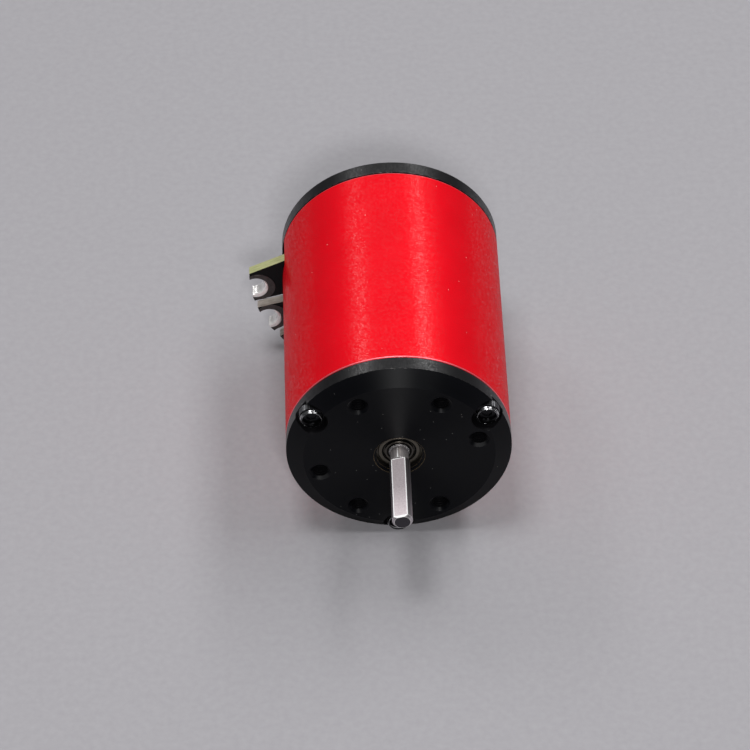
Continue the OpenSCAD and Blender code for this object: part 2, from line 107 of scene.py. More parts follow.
def bumped(tree, shader, height, depth):
    """Feeds a height of 0 to 1, worth depth millimetres, to the shader's normal."""
    bump = node(tree, "ShaderNodeBump", {"Height": height, "Distance": depth * MM, "Strength": 1.0})
    tree.links.new(bump.outputs["Normal"], shader.inputs["Normal"])


def toned(name, pale, deep, size_mm, depth_mm, **shader_values):
    """A material whose tone wanders between two colours over size_mm along each axis."""
    material, tree, shader = new_material(name, **shader_values)
    place = node(tree, "ShaderNodeTexCoord")
    scale = [1.0 / (size * MM) for size in size_mm]
    stretched = node(
        tree, "ShaderNodeVectorMath", {0: place.outputs["Object"], 1: scale}, operation="MULTIPLY"
    )
    noise = node(
        tree, "ShaderNodeTexNoise", {"Vector": stretched.outputs[0], "Scale": 1.0, "Detail": 3.0}
    )
    tone = mixed(tree, noise.outputs["Fac"], (*deep, 1), (*pale, 1))
    tree.links.new(tone, shader.inputs["Base Color"])
    bumped(tree, shader, noise.outputs["Fac"], depth_mm)
    return material


def soft_box(name, place, tilt, width, length, radiance):
    """A light that hangs at place and faces down, tilted by degrees about the X and Y axes."""
    light = bpy.data.lights.new(name, "AREA")
    light.shape = "RECTANGLE"
    light.size = width
    light.size_y = length
    light.energy = radiance * math.pi * width * length
    hung = bpy.data.objects.new(name, light)
    hung.location = place
    hung.rotation_euler = (math.radians(tilt[0]), math.radians(tilt[1]), 0.0)
    bpy.context.scene.collection.objects.link(hung)


paper = toned(
    "pale paper", (0.38, 0.37, 0.39), (0.32, 0.31, 0.33), (1.1, 1.1, 1.1), 0.02, Roughness=0.9
)
sheet_mesh = bpy.data.meshes.new("floor_sheet")
sheet_form = bmesh.new()
bmesh.ops.create_grid(sheet_form, x_segments=4, y_segments=4, size=3.0)
bmesh.ops.translate(sheet_form, vec=(0, 0, cad_box[0].z), verts=sheet_form.verts)
sheet_form.to_mesh(sheet_mesh)
sheet_form.free()
sheet_mesh.materials.append(paper)
floor_sheet = bpy.data.objects.new("floor_sheet", sheet_mesh)
bpy.context.scene.collection.objects.link(floor_sheet)

soft_box("back panel", (0.0, 0.95, 0.85), (-48, 0), 1.6, 0.6, 0.7)
soft_box("left strip", (-0.48, 0.66, 0.70), (0, -34), 0.17, 0.44, 6.5)
soft_box("right strip", (0.385, 0.395, 0.70), (0, 29), 0.17, 1.0, 6.5)
soft_box("top box", (-0.14, -0.02, 0.85), (0, -9), 0.24, 0.24, 15.0)
soft_box("front box", (0.02, -0.70, 0.60), (49, 0), 0.16, 0.07, 120.0)

room = bpy.data.worlds.new("room")
room.use_nodes = True
walls = room.node_tree.nodes["Background"]
walls.inputs["Color"].default_value = (0.95, 0.97, 1.0, 1)
walls.inputs["Strength"].default_value = 0.08
bpy.context.scene.world = room
bpy.context.scene.view_settings.view_transform = "Standard"

# Can. A thick aluminium tube, turned, chamfered at both rims, fine-blasted and anodised red.
# A window in its rear rim lets the terminal board out.


def shader_group(name, inputs, outputs):
    """An empty shader group with float sockets, as (group, its inputs, its output)."""
    group = bpy.data.node_groups.new(name, "ShaderNodeTree")
    for label, value in inputs.items():
        socket = group.interface.new_socket(label, in_out="INPUT", socket_type="NodeSocketFloat")
        socket.default_value = value
    for label in outputs:
        group.interface.new_socket(label, in_out="OUTPUT", socket_type="NodeSocketFloat")
    return group, group.nodes.new("NodeGroupInput").outputs, group.nodes.new("NodeGroupOutput")


def use_group(tree, group, **values):
    """A group placed in a material's tree with its own values or links."""
    placed = tree.nodes.new("ShaderNodeGroup")
    placed.node_tree = group
    for label, value in values.items():
        socket = placed.inputs[label.replace("_", " ")]
        if isinstance(value, bpy.types.NodeSocket):
            tree.links.new(value, socket)
        else:
            socket.default_value = value
    return placed


def maths(tree, operation, *values):
    """A Math node's output."""
    return node(tree, "ShaderNodeMath", dict(enumerate(values)), operation=operation).outputs[0]


def above(tree, value, limit):
    """1 where a value is above a limit, else 0."""
    return maths(tree, "GREATER_THAN", value, limit)


# Blasting leaves shallow dents: their height, how well each facet shines, and slow tone
blasting, given, out = shader_group(
    "blasting", {"Dent Size mm": 0.15, "Contrast": 3.0}, ["Height", "Shine", "Tone"]
)
place = node(blasting, "ShaderNodeTexCoord").outputs["Object"]
per_dent = maths(blasting, "DIVIDE", 1.0 / MM, given["Dent Size mm"])
dents = node(
    blasting,
    "ShaderNodeTexNoise",
    {"Vector": place, "Scale": per_dent, "Detail": 2.0, "Roughness": 0.6},
)
cells = node(blasting, "ShaderNodeTexVoronoi", {"Vector": place, "Scale": per_dent})
cell_value = node(blasting, "ShaderNodeSeparateColor", {"Color": cells.outputs["Color"]})
shine = maths(blasting, "POWER", cell_value.outputs["Red"], given["Contrast"])
tone = node(blasting, "ShaderNodeTexNoise", {"Vector": place, "Scale": 160.0, "Detail": 3.0})
blasting.links.new(dents.outputs["Fac"], out.inputs["Height"])
blasting.links.new(shine, out.inputs["Shine"])
blasting.links.new(tone.outputs["Fac"], out.inputs["Tone"])

# Specks of pale dust, each about as wide as its size, in the few cells above the limit
dust, given, out = shader_group("dust", {"Speck Size mm": 0.2, "Speck Limit": 0.996}, ["Specks"])
place = node(dust, "ShaderNodeTexCoord").outputs["Object"]
per_speck = maths(dust, "DIVIDE", 1.0 / MM, given["Speck Size mm"])
speck_cells = node(dust, "ShaderNodeTexVoronoi", {"Vector": place, "Scale": per_speck})
speck_value = node(dust, "ShaderNodeSeparateColor", {"Color": speck_cells.outputs["Color"]})
chosen = above(dust, speck_value.outputs["Green"], given["Speck Limit"])
near = above(dust, 0.35, speck_cells.outputs["Distance"])
dust.links.new(maths(dust, "MULTIPLY", chosen, near), out.inputs["Specks"])


def dusted(tree, shader, colour, dust_colour, speck_mm, limit):
    """Feeds a colour with specks of dust on it to the shader."""
    motes = use_group(tree, dust, Speck_Size_mm=speck_mm, Speck_Limit=limit)
    speckled = mixed(tree, motes.outputs["Specks"], colour, dust_colour)
    tree.links.new(speckled, shader.inputs["Base Color"])


def eased_copy(cad_node, ease, material, body, edge_material=None):
    """A machined CAD node as one closed mesh with its sharp edges broken by ease millimetres."""
    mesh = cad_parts[cad_node].data.copy()
    mesh.name = cad_node + "_finished"
    for label in ("custom_normal", "sharp_edge", "sharp_face"):
        if label in mesh.attributes:
            mesh.attributes.remove(mesh.attributes[label])
    form = bmesh.new()
    form.from_mesh(mesh)
    bmesh.ops.remove_doubles(form, verts=form.verts, dist=0.002 * MM)
    bmesh.ops.dissolve_limit(
        form, angle_limit=math.radians(0.5), verts=form.verts, edges=form.edges, delimit=set()
    )
    for face in form.faces:
        face.material_index = 0
    form.to_mesh(mesh)
    form.free()
    mesh.materials.clear()
    mesh.materials.append(material)
    piece = bpy.data.objects.new(mesh.name, mesh)
    bpy.context.scene.collection.objects.link(piece)
    ease_edges(piece, ease)
    if edge_material:
        mesh.materials.append(edge_material)
        piece.modifiers["broken edges"].material = 1
    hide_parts(cad_node)
    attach(piece, body)
    return piece


def ease_edges(piece, ease):
    """Smooth shading with the sharp edges broken by ease millimetres."""
    piece.data.shade_smooth()
    edges = piece.modifiers.new("broken edges", "BEVEL")
    edges.width = ease * MM
    edges.segments = 2
    edges.limit_method = "ANGLE"
    edges.angle_limit = math.radians(28)
    edges.harden_normals = True


red_anodised, tree, shader = new_material(
    "red anodised",
    Metallic=0.3,
    Roughness=0.5,
    Specular_IOR_Level=0.02,
    Specular_Tint=(1.0, 0.25, 0.25, 1.0),
    Coat_Roughness=0.22,
)
grain = use_group(tree, blasting, Dent_Size_mm=0.14, Contrast=3.5)
red = mixed(tree, grain.outputs["Tone"], (0.75, 0.0035, 0.011, 1), (0.87, 0.005, 0.015, 1))
dusted(tree, shader, red, (0.9, 0.6, 0.58, 1), 0.20, 0.9993)
tree.links.new(grain.outputs["Shine"], shader.inputs["Coat Weight"])
bumped(tree, shader, grain.outputs["Height"], 0.008)
# The can's broken edges are painted bright pink: a painted highlight
rim_painted_highlight = toned(
    "red rim painted highlight", (1.0, 0.34, 0.40), (0.85, 0.05, 0.08), (0.5, 0.5, 0.5), 0.004,
    Metallic=0.7, Roughness=0.4,
)
eased_copy("can", 0.10, red_anodised, "housing", edge_material=rim_painted_highlight)

# Covers. Two turned aluminium caps, anodised black, with a bevelled rim. The front one's face
# has fine lathe lines and six tapped M3 holes; each is drawn to the can by three screws.
lathe_lines, given, out = shader_group(
    "lathe lines", {"Distance mm": 0.0, "Pitch mm": 0.08}, ["Height", "Tone"]
)
LINES_PER_TONE = 14.0
line = maths(lathe_lines, "DIVIDE", given["Distance mm"], given["Pitch mm"])
slow_line = maths(lathe_lines, "DIVIDE", line, LINES_PER_TONE)
for distance, detail, label in ((line, 2.0, "Height"), (slow_line, 1.0, "Tone")):
    lines = node(
        lathe_lines,
        "ShaderNodeTexNoise",
        {"W": distance, "Scale": 1.0, "Detail": detail},
        noise_dimensions="1D",
    )
    lathe_lines.links.new(lines.outputs["Fac"], out.inputs[label])


def from_axis(tree):
    """(distance from the shaft's axis in millimetres, direction away from it)."""
    place = node(tree, "ShaderNodeTexCoord").outputs["Object"]
    to_mm = (1.0 / MM, 0.0, 1.0 / MM)
    flat = node(tree, "ShaderNodeVectorMath", {0: place, 1: to_mm}, operation="MULTIPLY")
    distance = node(tree, "ShaderNodeVectorMath", {0: flat.outputs[0]}, operation="LENGTH")
    away = node(tree, "ShaderNodeVectorMath", {0: flat.outputs[0]}, operation="NORMALIZE")
    return distance.outputs["Value"], away.outputs[0]


def turned(name, pale, deep, pitch_mm, depth_mm, **shader_values):
    """A material with fine rings round the shaft's axis, as (material, tree, shader, tone)."""
    material, tree, shader = new_material(name, **shader_values)
    distance, away = from_axis(tree)
    lines = use_group(tree, lathe_lines, Distance_mm=distance, Pitch_mm=pitch_mm)
    tone = mixed(tree, lines.outputs["Tone"], (*deep, 1), (*pale, 1))
    tree.links.new(tone, shader.inputs["Base Color"])
    if shader_values.get("Anisotropic"):
        tree.links.new(away, shader.inputs["Tangent"])
    bumped(tree, shader, lines.outputs["Height"], depth_mm)
    return material, tree, shader, tone


black_blasted, tree, shader = new_material(
    "black anodised", Roughness=0.40, Specular_IOR_Level=0.25, Coat_Roughness=0.25
)
grain = use_group(tree, blasting, Dent_Size_mm=0.13, Contrast=3.0)
black = mixed(tree, grain.outputs["Tone"], (0.0025, 0.0023, 0.0030, 1), (0.0045, 0.0042, 0.0050, 1))
dusted(tree, shader, black, (0.4, 0.38, 0.38, 1), 0.18, 0.9985)
tree.links.new(grain.outputs["Shine"], shader.inputs["Coat Weight"])
bumped(tree, shader, grain.outputs["Height"], 0.008)

black_turned, tree, shader, black = turned(
    "black turned face",
    (0.0016, 0.0018, 0.0028),
    (0.0009, 0.0011, 0.0018),
    0.09,
    0.0012,
    Roughness=0.5,
    Anisotropic=0.9,
    Specular_IOR_Level=0.15,
)
dusted(tree, shader, black, (0.20, 0.20, 0.19, 1), 0.16, 0.999)


def finish_faces(piece, material, chosen):
    """Gives the faces that chosen picks, by centre in millimetres and normal, a material."""
    piece.data.materials.append(material)
    for face in piece.data.polygons:
        if chosen(face.center / MM, face.normal):
            face.material_index = len(piece.data.materials) - 1


# Broken edges: rubbed bright in places round the rim, a painted bronze glint round the shaft's
# opening
RIM_FROM_MM = 16.5
GLINT_OPENING_TO_MM = 4.4
rubbed_edge_and_glint, tree, shader = new_material("rubbed edge and painted glint", Metallic=0.8, Roughness=0.35)
distance = from_axis(tree)[0]
place = node(tree, "ShaderNodeTexCoord").outputs["Object"]
rubbing = node(tree, "ShaderNodeTexNoise", {"Vector": place, "Scale": 1900.0, "Detail": 2.0})
rubbed = above(tree, rubbing.outputs["Fac"], 0.56)
rubbed_rim = maths(tree, "MULTIPLY", rubbed, above(tree, distance, RIM_FROM_MM))
rim_tone = mixed(tree, rubbed_rim, (0.010, 0.010, 0.011, 1), (0.12, 0.115, 0.11, 1))
# A painted bronze glint on the edges round the shaft's opening
wear_and_glint_tone = mixed(tree, above(tree, GLINT_OPENING_TO_MM, distance), rim_tone, (0.34, 0.25, 0.13, 1))
tree.links.new(wear_and_glint_tone, shader.inputs["Base Color"])

# The lathe lines cover both faces as far as the foot of the bevel
BEVEL_FOOT_MM = 1.7
TURNED_SLOPE = 0.3
front_cap = eased_copy(
    "front_cover", 0.07, black_blasted, "housing", edge_material=rubbed_edge_and_glint
)
finish_faces(
    front_cap,
    black_turned,
    lambda centre, normal: normal.y < -TURNED_SLOPE and centre.y < BEVEL_FOOT_MM,
)
rear_cap = eased_copy(
    "rear_cover", 0.07, black_blasted, "housing", edge_material=rubbed_edge_and_glint
)
rear_face_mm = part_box("rear_cover")[1].y / MM
finish_faces(
    rear_cap,
    black_turned,
    lambda centre, normal: normal.y > TURNED_SLOPE and centre.y > rear_face_mm - BEVEL_FOOT_MM,
)


def geometry_tree(name, inputs):
    """An empty geometry tree with named inputs, as (tree, its inputs, its output)."""
    tree = bpy.data.node_groups.new(name, "GeometryNodeTree")
    tree.interface.new_socket("Geometry", in_out="INPUT", socket_type="NodeSocketGeometry")
    kinds = {int: "NodeSocketInt", float: "NodeSocketFloat", tuple: "NodeSocketVector"}
    for label, value in inputs.items():
        kind = kinds.get(type(value), "NodeSocketMaterial")
        socket = tree.interface.new_socket(label, in_out="INPUT", socket_type=kind)
        if value is not None:
            socket.default_value = value
    tree.interface.new_socket("Geometry", in_out="OUTPUT", socket_type="NodeSocketGeometry")
    return tree, tree.nodes.new("NodeGroupInput").outputs, tree.nodes.new("NodeGroupOutput")


def close_tree(tree, out, geometry, material):
    """Ends a tree in Realize Instances and Set Material."""
    real = node(tree, "GeometryNodeRealizeInstances", {"Geometry": geometry})
    values = {"Geometry": real.outputs[0], "Material": material}
    finished = node(tree, "GeometryNodeSetMaterial", values)
    tree.links.new(finished.outputs[0], out.inputs["Geometry"])


def vector(tree, x=0.0, y=0.0, z=0.0):
    """A vector made of three values."""
    return node(tree, "ShaderNodeCombineXYZ", {"X": x, "Y": y, "Z": z}).outputs[0]


def moved(tree, geometry, offset=(0, 0, 0), rotation=(0, 0, 0)):
    """A geometry moved and turned."""
    values = {"Geometry": geometry, "Translation": offset, "Rotation": rotation}
    return node(tree, "GeometryNodeTransform", values).outputs[0]


def joined(tree, *geometries):
    """Several geometries in one."""
    join = node(tree, "GeometryNodeJoinGeometry")
    for geometry in geometries:
        tree.links.new(geometry, join.inputs[0])
    return join.outputs[0]


def grown(name, tree, points_mm, values):
    """The plain mesh that a geometry tree makes at the points, as an object."""
    seats = bpy.data.meshes.new(name + " seats")
    seats.from_pydata([Vector(point) * MM for point in points_mm], [], [])
    maker = bpy.data.objects.new(name + " maker", seats)
    bpy.context.scene.collection.objects.link(maker)
    making = maker.modifiers.new("making", "NODES")
    making.node_group = tree
    for item in tree.interface.items_tree:
        if item.in_out == "INPUT" and item.name in values:
            making[item.identifier] = values[item.name]
    bpy.context.view_layer.update()
    evaluated = maker.evaluated_get(bpy.context.evaluated_depsgraph_get())
    mesh = bpy.data.meshes.new_from_object(evaluated)
    mesh.name = name
    piece = bpy.data.objects.new(name, mesh)
    bpy.context.scene.collection.objects.link(piece)
    bpy.data.objects.remove(maker)
    bpy.data.meshes.remove(seats)
    return piece


def on_circle(radius, angles, y):
    """Points on a circle round the shaft's axis, in millimetres."""
    turns = [math.radians(angle) for angle in angles]
    return [(radius * math.cos(turn), y, radius * math.sin(turn)) for turn in turns]


# The thread that a tap leaves in each hole: a ridge along a helix
HOLE_CIRCLE_MM = 12.7
HOLE_ANGLES = (15, 60, 120, 195, 240, 300)
THREAD_START_MM = 0.55
thread_tree, given, out = geometry_tree(
    "tapped threads",
    {
        "Hole Radius": 1.25 * MM,
        "Pitch": 0.5 * MM,
        "Length": 5.5 * MM,
        "Ridge": 0.08 * MM,
        "Material": None,
    },
)
helix = node(
    thread_tree,
    "GeometryNodeCurveSpiral",
    {
        "Resolution": 28,
        "Rotations": maths(thread_tree, "DIVIDE", given["Length"], given["Pitch"]),
        "Start Radius": given["Hole Radius"],
        "End Radius": given["Hole Radius"],
        "Height": given["Length"],
    },
)
ridge = node(
    thread_tree, "GeometryNodeCurvePrimitiveCircle", {"Resolution": 4, "Radius": given["Ridge"]}
)
thread = node(
    thread_tree,
    "GeometryNodeCurveToMesh",
    {"Curve": helix.outputs[0], "Profile Curve": ridge.outputs[0], "Fill Caps": True},
)
threads = node(
    thread_tree,
    "GeometryNodeInstanceOnPoints",
    {
        "Points": given["Geometry"],
        "Instance": moved(thread_tree, thread.outputs[0], rotation=(-math.pi / 2, 0, 0)),
    },
)
close_tree(thread_tree, out, threads.outputs[0], given["Material"])

cap_threads = grown(
    "front_cap_threads",
    thread_tree,
    on_circle(HOLE_CIRCLE_MM, HOLE_ANGLES, THREAD_START_MM),
    {"Material": black_turned},
)
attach(cap_threads, "housing")

# Cover screws. Three M2 socket head screws with knurled heads hold the front cover, in
# counterbores that break out of its rim. Three low button heads hold the rear one. All are
# blackened steel.
SCREW_CIRCLE_MM = 15.58
SCREW_ANGLES = (30, 150, 270)
OVERLAP_MM = 0.1

# The socket's lead-in, as parts of the socket's width
LEAD_IN_RADIUS = 0.61
LEAD_IN_DEPTH = 0.3


def screw_tree(name, sizes, head_of):
    """A tree that seats one screw at each point; head_of(tree, given) draws its solid head."""
    inputs = {**sizes, "Facing": (0.0, 0.0, 0.0), "Seed": 3, "Material": None}
    tree, given, out = geometry_tree(name, inputs)
    hexagon = node(
        tree,
        "GeometryNodeMeshCylinder",
        {
            "Vertices": 6,
            "Radius": maths(tree, "MULTIPLY", given["Socket Width"], 0.5 / math.cos(math.pi / 6)),
            "Depth": given["Head Height"],
        },
    )
    lead_in = node(
        tree,
        "GeometryNodeMeshCone",
        {
            "Vertices": 48,
            "Radius Top": 0.0,
            "Radius Bottom": maths(tree, "MULTIPLY", given["Socket Width"], LEAD_IN_RADIUS),
            "Depth": maths(tree, "MULTIPLY", given["Socket Width"], LEAD_IN_DEPTH),
        },
    )
    shank_length = maths(tree, "ADD", given["Shank Length"], OVERLAP_MM * MM)
    shank = node(
        tree,
        "GeometryNodeMeshCylinder",
        {
            "Vertices": 32,
            "Radius": maths(tree, "MULTIPLY", given["Shank Diameter"], 0.5),
            "Depth": shank_length,
        },
    )
    shank_end = maths(tree, "ADD", given["Head Height"], given["Shank Length"])
    shank_middle = maths(tree, "SUBTRACT", shank_end, maths(tree, "MULTIPLY", shank_length, 0.5))
    solid = node(tree, "GeometryNodeMeshBoolean", operation="UNION", solver="EXACT")
    seated_shank = moved(tree, shank.outputs[0], vector(tree, z=shank_middle))
    for shape in (seated_shank, *head_of(tree, given)):
        tree.links.new(shape, solid.inputs["Mesh 2"])
    cut = node(
        tree,
        "GeometryNodeMeshBoolean",
        {"Mesh 1": solid.outputs[0]},
        operation="DIFFERENCE",
        solver="EXACT",
    )
    tree.links.new(hexagon.outputs[0], cut.inputs["Mesh 2"])
    tree.links.new(lead_in.outputs[0], cut.inputs["Mesh 2"])
    seated = node(
        tree,
        "GeometryNodeInstanceOnPoints",
        {"Points": given["Geometry"], "Instance": cut.outputs[0], "Rotation": given["Facing"]},
    )
    turn = node(
        tree,
        "FunctionNodeRandomValue",
        {"Min": (0.0, 0.0, 0.0), "Max": (0.0, 0.0, math.pi / 3), "Seed": given["Seed"]},
        data_type="FLOAT_VECTOR",
    )
    tightened = node(
        tree,
        "GeometryNodeRotateInstances",
        {"Instances": seated.outputs[0], "Rotation": turn.outputs["Value"]},
    )
    close_tree(tree, out, tightened.outputs[0], given["Material"])
    return tree


def cylinder_between(tree, radius, start, end, vertices=72):
    """A cylinder along Z between two heights."""
    height = maths(tree, "SUBTRACT", end, start)
    middle = maths(tree, "MULTIPLY", maths(tree, "ADD", start, end), 0.5)
    values = {"Vertices": vertices, "Radius": radius, "Depth": height}
    made = node(tree, "GeometryNodeMeshCylinder", values)
    return moved(tree, made.outputs["Mesh"], vector(tree, z=middle))


def common(tree, first, second):
    """The solid that two solids share."""
    shared = node(tree, "GeometryNodeMeshBoolean", operation="INTERSECT", solver="EXACT")
    tree.links.new(first, shared.inputs["Mesh 2"])
    tree.links.new(second, shared.inputs["Mesh 2"])
    return shared.outputs[0]


# How far the knurled collar ends above the head's underside
COLLAR_END_MM = 0.08


def knurled_head(tree, given):
    """A cylinder with a long rounded shoulder at its front, inside a knurled collar."""
    radius = maths(tree, "MULTIPLY", given["Head Diameter"], 0.5)
    core_radius = maths(tree, "SUBTRACT", radius, given["Knurl Depth"])
    flat_radius = maths(tree, "SUBTRACT", core_radius, given["Edge Radius"])
    height = given["Head Height"]
    core = cylinder_between(tree, core_radius, 0.0, height)
    drawn_out = maths(tree, "DIVIDE", given["Edge Radius"], given["Shoulder Length"])
    widening = maths(tree, "MULTIPLY", height, drawn_out)
    # Each cone touches the shoulder's curve, so what they share is the shoulder in facets
    for slope in (18.0, 36.0, 54.0, 72.0):
        turn = math.radians(slope)
        reach = math.sin(turn) - (1.0 - math.cos(turn)) / math.tan(turn)
        stand_off = maths(tree, "MULTIPLY", given["Edge Radius"], reach)
        front = maths(tree, "ADD", flat_radius, stand_off)
        spread = maths(tree, "MULTIPLY", widening, 1.0 / math.tan(turn))
        cone = node(
            tree,
            "GeometryNodeMeshCone",
            {
                "Vertices": 72,
                "Radius Bottom": front,
                "Radius Top": maths(tree, "ADD", front, spread),
                "Depth": height,
            },
        )
        core = common(tree, core, cone.outputs["Mesh"])
    star = node(
        tree,
        "GeometryNodeCurveStar",
        {"Points": given["Knurl Ridges"], "Inner Radius": core_radius, "Outer Radius": radius},
    )
    collar_line = node(
        tree,
        "GeometryNodeCurvePrimitiveLine",
        {
            "Start": vector(tree, z=given["Shoulder Length"]),
            "End": vector(tree, z=maths(tree, "SUBTRACT", height, COLLAR_END_MM * MM)),
        },
    )
    collar = node(
        tree,
        "GeometryNodeCurveToMesh",
        {"Curve": collar_line.outputs[0], "Profile Curve": star.outputs[0], "Fill Caps": True},
    )
    return core, collar.outputs[0]


def domed_head(tree, given):
    """The top of a sphere that is as wide as the head at its underside."""
    half_width = maths(tree, "MULTIPLY", given["Head Diameter"], 0.5)
    squares = maths(
        tree,
        "ADD",
        maths(tree, "MULTIPLY", half_width, half_width),
        maths(tree, "MULTIPLY", given["Head Height"], given["Head Height"]),
    )
    radius = maths(tree, "DIVIDE", squares, maths(tree, "MULTIPLY", given["Head Height"], 2.0))
    ball = node(tree, "GeometryNodeMeshUVSphere", {"Segments": 64, "Rings": 40, "Radius": radius})
    whole = moved(tree, ball.outputs["Mesh"], vector(tree, z=radius))
    beyond = 1.0 * MM
    slice_radius = maths(tree, "ADD", half_width, beyond)
    sliced = cylinder_between(tree, slice_radius, -beyond, given["Head Height"])
    return (common(tree, whole, sliced),)


CAP_HEAD_MM = 2.0
cap_screw_tree = screw_tree(
    "socket head screws",
    {
        "Head Diameter": 3.8 * MM,
        "Head Height": CAP_HEAD_MM * MM,
        "Edge Radius": 0.42 * MM,
        "Shoulder Length": 0.70 * MM,
        "Knurl Depth": 0.05 * MM,
        "Knurl Ridges": 38,
        "Socket Width": 1.5 * MM,
        "Shank Diameter": 2.0 * MM,
        "Shank Length": 6.0 * MM,
    },
    knurled_head,
)
button_screw_tree = screw_tree(
    "button head screws",
    {
        "Head Diameter": 3.5 * MM,
        "Head Height": 1.2 * MM,
        "Socket Width": 1.3 * MM,
        "Shank Diameter": 2.0 * MM,
        "Shank Length": 6.0 * MM,
    },
    domed_head,
)
black_oxide = toned(
    "black oxide", (0.024, 0.024, 0.026), (0.012, 0.012, 0.013), (0.5, 0.5, 0.5), 0.002,
    Metallic=1.0, Roughness=0.25,
)
oxide_painted_highlight = toned(
    "oxide painted highlight", (0.62, 0.62, 0.63), (0.12, 0.12, 0.125), (0.25, 0.25, 0.25), 0.003,
    Metallic=1.0, Roughness=0.24,
)
oxide_painted_sheen = toned(
    "oxide painted sheen", (0.22, 0.22, 0.23), (0.07, 0.07, 0.075), (0.5, 0.5, 0.5), 0.003,
    Metallic=1.0, Roughness=0.36,
)
cap_top_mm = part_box("front_cover_screws")[0].y / MM
BUTTON_SUNK_MM = 0.3
button_top_mm = rear_face_mm - BUTTON_SUNK_MM


def on_knurls(centre, normal):
    """Whether a face is on the side of a front screw's head."""
    return abs(normal.y) < 0.08 and centre.y < cap_top_mm + CAP_HEAD_MM


# Facing is -1 for the front and 1 for the rear. Painted-highlight faces slope between two limits.
for name, tree, cad_node, facing, top_mm, ease, steepest, flattest in (
    ("front_cap_screws", cap_screw_tree, "front_cover_screws", -1, cap_top_mm, 0.03, 0.08, 0.97),
    ("rear_cap_screws", button_screw_tree, "rear_cover_screws", 1, button_top_mm, 0.05, 0.30, 0.55),
):
    screws = grown(
        name,
        tree,
        on_circle(SCREW_CIRCLE_MM, SCREW_ANGLES, top_mm),
        {"Facing": (facing * math.pi / 2, 0.0, 0.0), "Material": black_oxide},
    )
    ease_edges(screws, ease)
    # Each head's sloping faces get a painted highlight
    finish_faces(
        screws, oxide_painted_highlight, lambda centre, normal: steepest < facing * normal.y < flattest
    )
    # The knurled sides of the front heads get a painted sheen
    finish_faces(screws, oxide_painted_sheen, on_knurls)
    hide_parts(cad_node)
    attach(screws, "housing")

# Bearings. Two miniature ball bearings with pressed steel shields; the front one's face shows
# in the cover's opening around the shaft. A wave washer behind the rear one takes up play.


def painted_shade_ring(tree, shader, tone, radius_mm, half_width_mm, colour):
    """Feeds a tone with one ring of painted shade round the shaft's axis to the shader."""
    ring = maths(tree, "COMPARE", from_axis(tree)[0], radius_mm, half_width_mm)
    tree.links.new(mixed(tree, ring, tone, colour), shader.inputs["Base Color"])


# Painted shade darkens the inner race's chamfered bore and the gap at the shield's inner edge
race_steel, tree, shader, steel_tone = turned(
    "race steel", (0.13, 0.12, 0.105), (0.06, 0.055, 0.048), 0.05, 0.002,
    Metallic=1.0, Roughness=0.32,
)
bore_painted_shade = (0.010, 0.009, 0.008, 1)
painted_shade_ring(tree, shader, steel_tone, radius_mm=1.75, half_width_mm=0.2, colour=bore_painted_shade)
shield_steel, tree, shader, steel_tone = turned(
    "shield steel", (0.16, 0.145, 0.12), (0.09, 0.082, 0.065), 0.12, 0.003,
    Metallic=1.0, Roughness=0.36,
)
gap_painted_shade = (0.004, 0.004, 0.004, 1)
painted_shade_ring(tree, shader, steel_tone, radius_mm=2.58, half_width_mm=0.11, colour=gap_painted_shade)
ball_steel = toned(
    "ball steel", (0.62, 0.61, 0.60), (0.50, 0.49, 0.48), (0.4, 0.4, 0.4), 0.0005,
    Metallic=1.0, Roughness=0.08,
)
pressed_brass = toned(
    "pressed brass", (0.60, 0.42, 0.16), (0.42, 0.28, 0.10), (0.3, 0.3, 0.3), 0.004,
    Metallic=1.0, Roughness=0.36,
)
spring_steel = toned(
    "spring steel", (0.42, 0.42, 0.43), (0.28, 0.28, 0.30), (0.6, 0.1, 0.6), 0.003,
    Metallic=1.0, Roughness=0.3,
)


def painted(material, *cad_nodes):
    """Gives CAD nodes whose shape is right their material."""
    for cad_node in cad_nodes:
        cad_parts[cad_node].material_slots[0].material = material


for end in ("front", "rear"):
    eased_copy(f"{end}_bearing_outer_race", 0.03, race_steel, "housing")
    eased_copy(f"{end}_bearing_inner_race", 0.03, race_steel, "rotor")
    eased_copy(f"{end}_bearing_shields", 0.03, shield_steel, "housing")
    painted(ball_steel, f"{end}_bearing_balls")
    painted(pressed_brass, f"{end}_bearing_cage")
painted(spring_steel, "preload_washer")

# Shaft. Ground steel, 1/8 inch across, with a flat for the pinion's set screw and a grinding
# relief behind it.
ground_steel = toned(
    "ground steel", (0.80, 0.75, 0.77), (0.34, 0.31, 0.33), (0.30, 4.0, 0.30), 0.006,
    Metallic=1.0, Roughness=0.38,
)
relieved_steel = toned(
    "relieved steel", (0.98, 0.92, 0.92), (0.30, 0.27, 0.28), (0.16, 4.0, 0.16), 0.010,
    Metallic=0.80, Roughness=0.46,
)
cut_end = toned(
    "cut end", (0.085, 0.08, 0.09), (0.04, 0.038, 0.043), (0.25, 0.25, 0.25), 0.004,
    Metallic=1.0, Roughness=0.4,
)

